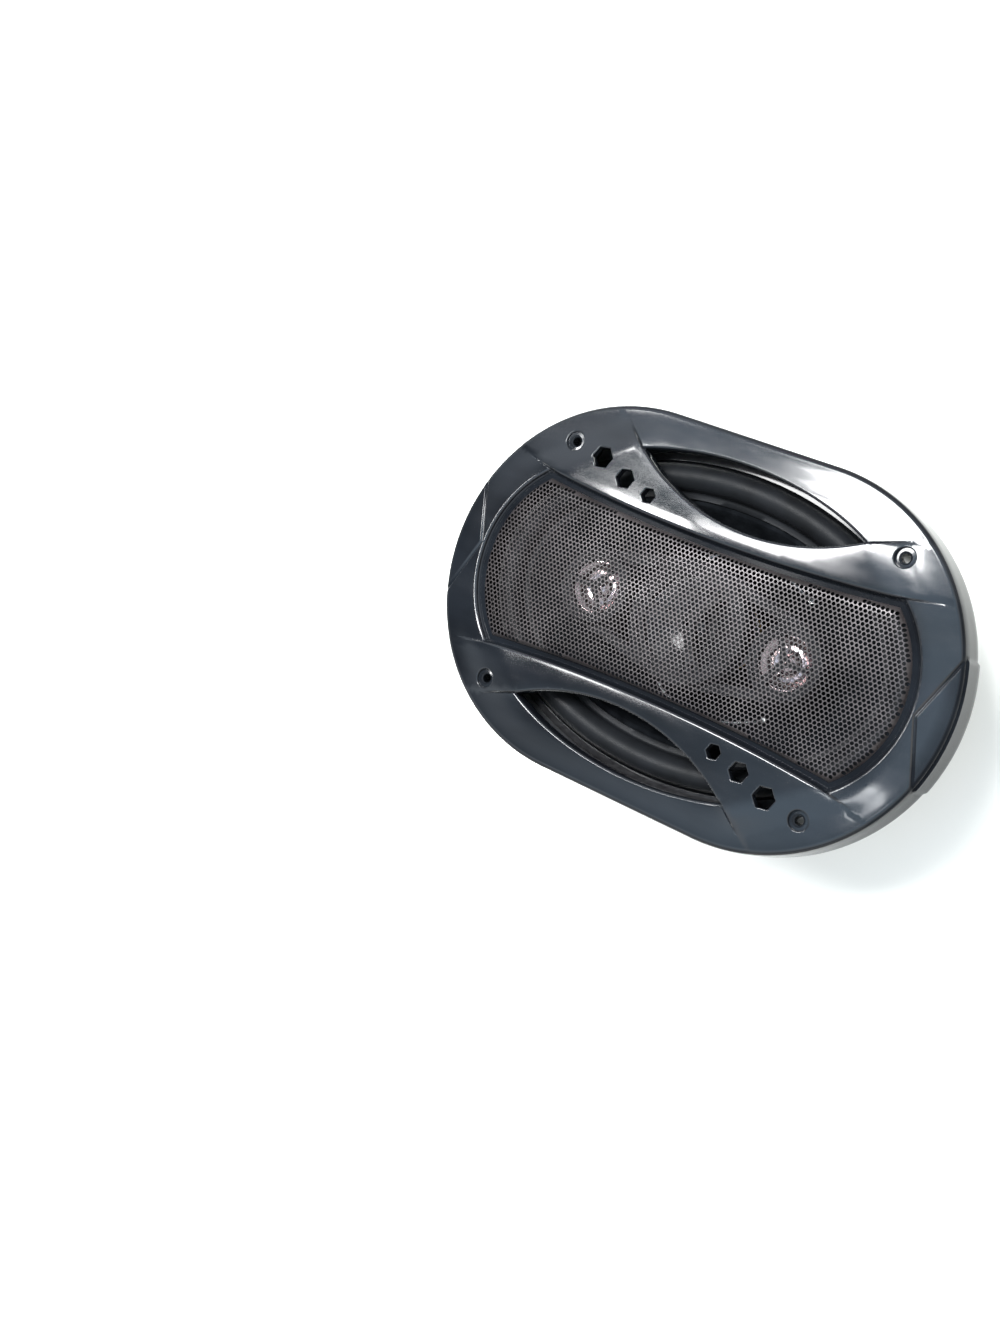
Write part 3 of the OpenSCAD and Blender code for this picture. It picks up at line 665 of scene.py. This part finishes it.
def make_trim():
    shape = Shape()
    edge = mesh_outline(-LEDGE)
    loops = [stadium(), edge, crescent(), -crescent(), *hex_outlines(), *screw_circles(SCREW_R)]
    xy, tris, places = triangulate(loops, front_points())
    front = shape.add(np.column_stack([xy, trim_height(xy[:, 0], xy[:, 1])]))
    shape.faces += [tuple(front[i] for i in t) for t in tris]
    rims = [[front[i] for i in place] for place in places]

    # underside, at one level, with bosses and lips standing down from it
    under_loops = [stadium(-2.0), edge, crescent(CRESCENT_LIP), -crescent(CRESCENT_LIP), *hex_outlines(),
                   *screw_circles(BOSS_R)]
    under_xy, under_tris, places = triangulate(under_loops, under_points())
    under = shape.loop(under_xy, UNDER_Z)
    shape.faces += [tuple(under[i] for i in reversed(t)) for t in under_tris]
    unders = [[under[i] for i in place] for place in places]

    add_skirt(shape, rims[0], unders[0])
    shape.band(rims[1], unders[1])
    for k, side in ((2, 1), (3, -1)):
        low = shape.loop(side * crescent(), LIP_Z)
        low_out = shape.loop(side * crescent(CRESCENT_LIP), LIP_Z)
        shape.bands([rims[k], low, low_out, unders[k]])
    for rim, foot in zip(rims[4:10], unders[4:10]):
        shape.band(rim, foot)
    for (sx, sy), rim, foot in zip(CORNERS, rims[10:], unders[10:]):
        add_screw_hole(shape, sx * SCREW_X, sy * SCREW_Y, rim, foot)
    for sx, sy in CORNERS:
        add_snap_tab(shape, sx, sy)

    exact = trim_normals(xy[:, 0], xy[:, 1])
    front_of = {v: i for i, v in enumerate(front)}

    def normals(mesh):
        out = np.zeros((len(mesh.loops), 3))
        for poly in mesh.polygons:
            if poly.index < len(tris):
                for li in poly.loop_indices:
                    out[li] = exact[front_of[mesh.loops[li].vertex_index]]
        return out.tolist()

    obj = build("trim_shell", shape.points, shape.faces, "trim_gloss", normals=normals)
    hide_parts("grille_trim")
    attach(obj, "grille")
    return obj


# ------------------------------------------------------------------ the perforated sheet

PITCH = 2.09
PERF_R = 0.88
PERF_SIDES = 10
SHEET_T = 0.35
SHEET_IN = 3.4
SHEET_FOOT_Z = 95.9
DOME_Z = 98.5
DOME_RISE = 2.5
DOME_R = 106.0


def sheet_height(x, y):
    """A shallow dome, whose edge is rolled down."""
    depth = np.maximum(-from_mesh(x, y) - SHEET_IN, 0)
    dome = DOME_Z + DOME_RISE * (1 - (x * x + y * y) / DOME_R ** 2)
    return dome - 0.22 * fillet(depth, 5.5) - 1.1 * (1 - smooth(depth / 1.8))


def hole_centres():
    """Centres of the holes, in staggered rows."""
    rows = []
    for i, y in enumerate(np.arange(-24, 25) * PITCH * math.sqrt(3) / 2):
        xs = (np.arange(-54, 55) + (i % 2) * 0.5) * PITCH
        rows.append(np.column_stack([xs, np.full(len(xs), y)]))
    xy = np.vstack(rows)
    return xy[-from_mesh(xy[:, 0], xy[:, 1]) - SHEET_IN > PERF_R + 0.15]


def make_sheet():
    shape = Shape()
    outline_steps = (70, 90)
    hole = circle(0, 0, PERF_R, PERF_SIDES)
    loops = [mesh_outline(-SHEET_IN, *outline_steps)] + [centre + hole for centre in hole_centres()]
    xy, tris, places = triangulate(loops, [])
    z = sheet_height(xy[:, 0], xy[:, 1])
    top = shape.add(np.column_stack([xy, z]))
    low = shape.add(np.column_stack([xy, z - SHEET_T]))
    shape.faces += [tuple(top[i] for i in t) for t in tris]
    shape.faces += [tuple(low[i] for i in reversed(t)) for t in tris]
    rims = [([top[i] for i in place], [low[i] for i in place]) for place in places]
    edge, edge_foot = rims[0]
    skirt = shape.loop(mesh_outline(-SHEET_IN + 0.1, *outline_steps), SHEET_FOOT_Z)
    skirt_in = shape.loop(mesh_outline(-SHEET_IN - 0.4, *outline_steps), SHEET_FOOT_Z)
    shape.bands([edge_foot, skirt_in, skirt, edge])
    for rim, foot in rims[1:]:
        shape.band(rim, foot)
    obj = build("perforated_sheet", shape.points, shape.faces, "mesh_steel", sharp=40)
    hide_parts("grille_mesh")
    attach(obj, "grille")
    return obj


# ------------------------------------------------------------------ cone, surround, spider and leads

ROLL_A, ROLL_B, ROLL_R = 98.5, 64.0, 6.5
ROLL_T = 0.8


def set_weights(obj, weight):
    """Works out the weight of the moving end for each vertex of a piece from its place in mm, but stores no
    weights.
    """
    co = np.empty(len(obj.data.vertices) * 3)
    obj.data.vertices.foreach_get("co", co)
    co = co.reshape(-1, 3) / MM
    weight(co).astype(np.float32)


def make_surround():
    shape = Shape()
    # the section, as (distance outwards from the crest, height over the flange)
    section = [(ROLL_R + 4.2, 0.05), (ROLL_R + 4.2, 0.8), (ROLL_R + 1.0, 0.85), (ROLL_R + 0.25, 1.15)]
    for a in np.radians(np.linspace(8, 172, 17)):
        section.append((ROLL_R * math.cos(a), ROLL_T + ROLL_R * math.sin(a)))
    section += [(-ROLL_R - 0.25, 1.15), (-ROLL_R - 0.9, 0.9), (-ROLL_R - 3, 0.85), (-ROLL_R - 3.2, 0.6),
                (-ROLL_R - 3.2, 0.1), (-ROLL_R - 0.2, 0.1)]
    inner_r = ROLL_R - ROLL_T
    for a in np.radians(np.linspace(176, 4, 15)):
        section.append((inner_r * math.cos(a), 0.1 + inner_r * math.sin(a)))
    section.append((inner_r, 0.05))
    oval_sweep(shape, [(ROLL_A + d, ROLL_B + d, FLANGE_Z + z) for d, z in section])
    obj = build("roll_surround", shape.points, shape.faces, "surround_rubber", sharp=50)
    tidy_normals(obj)
    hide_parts("surround")
    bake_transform(obj)

    def weight(co):
        k = np.hypot(co[:, 0] / ROLL_A, co[:, 1] / ROLL_B)
        a = np.arctan2(co[:, 1] / ROLL_B, co[:, 0] / ROLL_A)
        from_crest = (k - 1) * np.hypot(ROLL_A * np.cos(a), ROLL_B * np.sin(a))
        return smooth((ROLL_R - 0.3 - from_crest) / (2 * ROLL_R - 0.6))

    set_weights(obj, weight)
    return obj


CONE_MOUTH_IN = 12.0
CONE_NECK_R = 17.35
CONE_NECK_Z = 45.0
CONE_DEPTH = 34.0
CONE_T = 0.9


def make_cone():
    shape = Shape()
    a1, b1 = ROLL_A - CONE_MOUTH_IN, ROLL_B - CONE_MOUTH_IN
    neck_r = CONE_NECK_R

    def wall(t, out, drop):
        """A point of the wall, from the neck at t = 0 to the mouth at t = 1."""
        rise = 0.86 * t + 0.14 * t * t
        return (neck_r + (a1 - neck_r) * t + out, neck_r + (b1 - neck_r) * t + out,
                CONE_NECK_Z + CONE_DEPTH * rise - drop)

    steps = 22
    profile = [(neck_r + CONE_T, neck_r + CONE_T, CONE_NECK_Z - 3)]
    profile += [wall(i / steps, CONE_T, 0.2) for i in range(steps + 1)]
    profile += [(a1 + out, b1 + out, z) for out, z in ((5, 79.0), (5, 79.75), (0.6, 79.8), (0.1, 79.5))]
    profile += [wall(i / steps, 0, 0) for i in range(steps - 1, -1, -1)]
    profile += [(neck_r, neck_r, CONE_NECK_Z - 3)]
    oval_sweep(shape, profile)
    obj = build("paper_cone", shape.points, shape.faces, "cone_fibre", sharp=50)
    tidy_normals(obj)
    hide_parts("cone")
    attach(obj, "cone_assembly")
    return obj


LEAD_R = 0.6


def braid(shape, path, sides=10, twist=0.35):
    """A braided lead along points in mm, closed at both ends, with a slight twist and ribs."""
    n = len(path)
    rings = []
    for i in range(n):
        t = path[min(i + 1, n - 1)] - path[max(i - 1, 0)]
        t /= np.linalg.norm(t)
        u = np.cross(t, (0.2, 1, 0.1))
        u /= np.linalg.norm(u)
        v = np.cross(t, u)
        a = np.arange(sides) * 2 * np.pi / sides + twist * i
        r = LEAD_R * (1 + 0.06 * (i % 2))
        rings.append(shape.add(path[i] + r * (np.cos(a)[:, None] * u + np.sin(a)[:, None] * v)))
    shape.bands(rings)
    shape.cap(rings[0][::-1])
    shape.cap(rings[-1])


def curve_through(points, n):
    """A smooth curve through points, with n steps between each two."""
    points = np.asarray(points, float)
    out = []
    for i in range(len(points) - 1):
        p0, p1 = points[max(i - 1, 0)], points[i]
        p2, p3 = points[i + 1], points[min(i + 2, len(points) - 1)]
        for k in range(n):
            t = k / n
            out.append(0.5 * (2 * p1 + (p2 - p0) * t + (2 * p0 - 5 * p1 + 4 * p2 - p3) * t * t
                              + (3 * p1 - p0 - 3 * p2 + p3) * t ** 3))
    out.append(points[-1])
    return np.array(out)


def make_tinsel():
    path = [(-5.5, 29.6, 84), (-3, 32, 83.4), (3, 35, 82), (12, 36.8, 80), (22, 36.4, 77.4), (31, 33.6, 74),
            (37, 30.6, 70.6), (39.8, 28.8, 66.4)]
    shape = Shape()
    for s in (1, -1):
        braid(shape, curve_through([(x, s * y, z) for x, y, z in path], 12))
    obj = build("tinsel_leads_front", shape.points, shape.faces, "tinsel_braid", sharp=70)
    tidy_normals(obj)
    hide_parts("tinsel_leads")
    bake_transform(obj)
    return obj


def make_terminal_leads():
    path = [(11, -54.7, 33), (11, -56.3, 38), (10, -55.7, 45), (8.6, -50, 51), (7.6, -42, 54.2),
            (7, -34, 57.8)]
    shape = Shape()
    for s in (1, -1):
        braid(shape, curve_through([(s * x, y, z) for x, y, z in path], 10))
    obj = build("tinsel_leads_rear", shape.points, shape.faces, "tinsel_braid", sharp=70)
    tidy_normals(obj)
    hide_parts("terminal_leads")
    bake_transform(obj)
    return obj


SPIDER_R = 43.0
SPIDER_Z = 37.8
SPIDER_WAVE = 1.3
SPIDER_PITCH = 6.25


def make_spider():
    shape = Shape()

    def wave(r):
        return SPIDER_Z + SPIDER_WAVE * math.sin(2 * math.pi * (r - 18) / SPIDER_PITCH)

    radii = np.linspace(17.8, SPIDER_R, 90)
    profile = [(r, wave(r) + 0.6) for r in radii]
    profile += [(43.6, 36.9), (47.0, 36.9), (47.0, 36.2), (43.2, 36.2)]
    profile += [(r, wave(r)) for r in radii[::-1]]
    revolve(shape, profile, 128)
    obj = build("damper", shape.points, shape.faces, "damper_cloth", sharp=60)
    tidy_normals(obj)
    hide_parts("spider")
    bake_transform(obj)
    set_weights(obj, lambda co: smooth((SPIDER_R - np.hypot(co[:, 0], co[:, 1])) / 25.0))
    return obj


# ------------------------------------------------------------------ CAD pieces with rounded edges

BEVEL_OVER = math.radians(38.0)
SMOOTH_UNDER = math.radians(32.0)


def rounded(node, slot, width):
    """The same shape as a CAD node, as one welded skin with its sharp edges rounded to a width in mm."""
    mesh = NODES[node].data.copy()
    mesh.name = node + "_skin"
    work = bmesh.new()
    work.from_mesh(mesh)
    bmesh.ops.remove_doubles(work, verts=work.verts, dist=2e-6)
    bmesh.ops.dissolve_limit(work, angle_limit=math.radians(1.0), verts=work.verts, edges=work.edges)
    work.to_mesh(mesh)
    work.free()
    if "custom_normal" in mesh.attributes:
        mesh.attributes.remove(mesh.attributes["custom_normal"])
    mesh.polygons.foreach_set("use_smooth", np.ones(len(mesh.polygons), bool))
    mesh.set_sharp_from_angle(angle=SMOOTH_UNDER)
    obj = new_object(node + "_skin", mesh, slot)
    if width:
        bevel = obj.modifiers.new("edge", "BEVEL")
        bevel.width = width * MM
        bevel.segments = 2
        bevel.limit_method = "ANGLE"
        bevel.angle_limit = BEVEL_OVER
        bevel.harden_normals = True
        bevel.use_clamp_overlap = True
    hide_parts(node)
    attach(obj, NODES[node]["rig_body"])


dull_below(MATERIALS["trim_gloss"], (UNDER_Z + 1.1) * MM)

SLOT_OF = {s["node"]: s["material_slot"] for s in frame["record"]["subparts"]}

make_trim()
make_sheet()
make_surround()
make_cone()
make_tinsel()
make_terminal_leads()
make_spider()

MADE = {"grille_trim", "grille_mesh", "surround", "cone", "tinsel_leads", "terminal_leads", "spider"}
for node_name, node_obj in NODES.items():
    if node_name not in MADE:
        paint(node_obj, SLOT_OF[node_name])
# Width in mm of each skin's rounded edges; the basket's bends are round already
EDGES = {
    "basket": 0.0,
    "bridge": 0.35,
    "yoke": 0.6,
    "magnet": 0.8,
    "top_plate": 0.5,
    "terminal_board": 0.25,
    "midrange_guard": 0.25,
    "tweeter_left_guard": 0.2,
    "tweeter_right_guard": 0.2,
    "surround_gasket": 0.3,
}
for node_name, edge_mm in EDGES.items():
    rounded(node_name, SLOT_OF[node_name], edge_mm)


# ------------------------------------------------------------------ floor, light and camera

FLOOR_HALF = 4.0
FLOOR_Z = -0.0003


def make_floor():
    size = FLOOR_HALF
    corners = [(-size, -size, FLOOR_Z), (size, -size, FLOOR_Z), (size, size, FLOOR_Z), (-size, size, FLOOR_Z)]
    mesh = bpy.data.meshes.new("floor")
    mesh.from_pydata(corners, [], [(0, 1, 2, 3)])
    mesh.materials.append(surface("floor_white", (0.80, 0.82, 0.80), (0.84, 0.85, 0.84), (0.5, 0.7), 6.0,
                                  bumps=((300.0, 0.05, 0.0002),)))
    obj = bpy.data.objects.new("floor", mesh)
    bpy.context.scene.collection.objects.link(obj)


def make_light(name, place, aim, size, watts, colour, glossy):
    data = bpy.data.lights.new(name, "AREA")
    data.shape = "RECTANGLE"
    data.size, data.size_y = size
    data.energy = watts
    data.color = colour
    obj = bpy.data.objects.new(name, data)
    obj.location = place
    obj.rotation_mode = "QUATERNION"
    obj.rotation_quaternion = (Vector(place) - Vector(aim)).to_track_quat("Z", "Y")
    obj.visible_camera = False
    obj.visible_glossy = glossy
    bpy.context.scene.collection.objects.link(obj)


# Colour of the room at some heights, as the upward part of the direction
SKY = [
    (0.0, (0.92, 0.92, 0.90)),
    (0.12, (0.92, 0.92, 0.90)),
    (0.30, (0.26, 0.28, 0.29)),
    (0.80, (0.82, 0.90, 0.98)),
    (0.93, (0.60, 0.80, 1.0)),
]
# Where somebody leans over, and how much of a distance from there counts along each axis
LEANING_OVER = Vector((-0.58, -0.10, 0.81))
LEANING_SHAPE = Vector((0.6, 1.0, 0.6))


def make_world():
    """White walls, a bluish ceiling, and a dark patch where somebody leans over the speaker."""
    world = bpy.data.worlds.new("studio")
    bpy.context.scene.world = world
    world.use_nodes = True
    tree = world.node_tree
    back = tree.nodes["Background"]
    coords = tree.nodes.new("ShaderNodeTexCoord")
    squeezed = tree.nodes.new("ShaderNodeVectorMath")
    squeezed.operation = "MULTIPLY"
    squeezed.inputs[1].default_value = LEANING_SHAPE
    tree.links.new(coords.outputs["Generated"], squeezed.inputs[0])
    away = tree.nodes.new("ShaderNodeVectorMath")
    away.operation = "DISTANCE"
    away.inputs[1].default_value = LEANING_OVER * LEANING_SHAPE
    tree.links.new(squeezed.outputs["Vector"], away.inputs[0])
    tree.links.new(ramp(tree, away.outputs["Value"], 0.02, 1.4, 0.08, 0.34), back.inputs["Strength"])
    split = tree.nodes.new("ShaderNodeSeparateXYZ")
    tree.links.new(coords.outputs["Generated"], split.inputs["Vector"])
    sky = tree.nodes.new("ShaderNodeValToRGB")
    tree.links.new(split.outputs["Z"], sky.inputs["Fac"])
    stops = sky.color_ramp.elements
    while len(stops) < len(SKY):
        stops.new(0.5)
    for stop, (position, colour) in zip(stops, SKY):
        stop.position = position
        stop.color = (*colour, 1)
    tree.links.new(sky.outputs["Color"], back.inputs["Color"])


FRONT = (0.0, 0.0, 0.08)
FOOT = (0.0, 0.0, 0.0)
WHITE = (1.0, 1.0, 1.0)
LAMPS = [
    # name, place, aim, size, watts, colour, seen in the gloss
    ("key", (-0.518, 0.175, 1.5), FRONT, (0.265, 0.15), 4.2, WHITE, True),
    ("window", (-0.275, 0.445, 1.5), FRONT, (0.45, 0.27), 13.0, WHITE, True),
    ("corner", (-0.055, -0.30, 1.5), FRONT, (0.08, 0.07), 0.22, (0.95, 0.98, 1.0), True),
    ("strip", (-0.725, -0.01, 1.5), FRONT, (0.12, 0.12), 2.2, WHITE, True),
    ("patch", (-0.80, 0.26, 1.5), FRONT, (0.10, 0.12), 1.2, WHITE, True),
    ("fill", (-0.36, 0.5, 1.6), FOOT, (0.9, 0.9), 84.0, (1.0, 0.99, 0.96), False),
    ("room", (1.5, -0.8, 1.8), FOOT, (2.0, 2.0), 34.0, (1.0, 0.90, 0.74), False),
]

# The camera's place, and its right, down and forward directions
CAMERA_AT = (0.2818, 0.0264, 0.7432)
RIGHT = Vector((0.79836, 0.355, -0.48642))
DOWN = Vector((0.35917, -0.92906, -0.08854))
AHEAD = Vector((-0.48335, -0.10402, -0.86923))
LENS = 43.2
SENSOR = 36.0


def make_camera():
    data = bpy.data.cameras.new("camera")
    data.sensor_fit = "AUTO"
    data.sensor_width = SENSOR
    data.lens = LENS
    data.clip_start = 0.01
    data.clip_end = 20
    camera = bpy.data.objects.new("camera", data)
    bpy.context.scene.collection.objects.link(camera)
    turn = Matrix((RIGHT, -DOWN, -AHEAD)).transposed()
    camera.matrix_world = Matrix.Translation(CAMERA_AT) @ turn.to_4x4()
    bpy.context.scene.camera = camera


make_floor()
make_world()
for lamp in LAMPS:
    make_light(*lamp)
make_camera()
bpy.context.scene.view_settings.view_transform = "Standard"
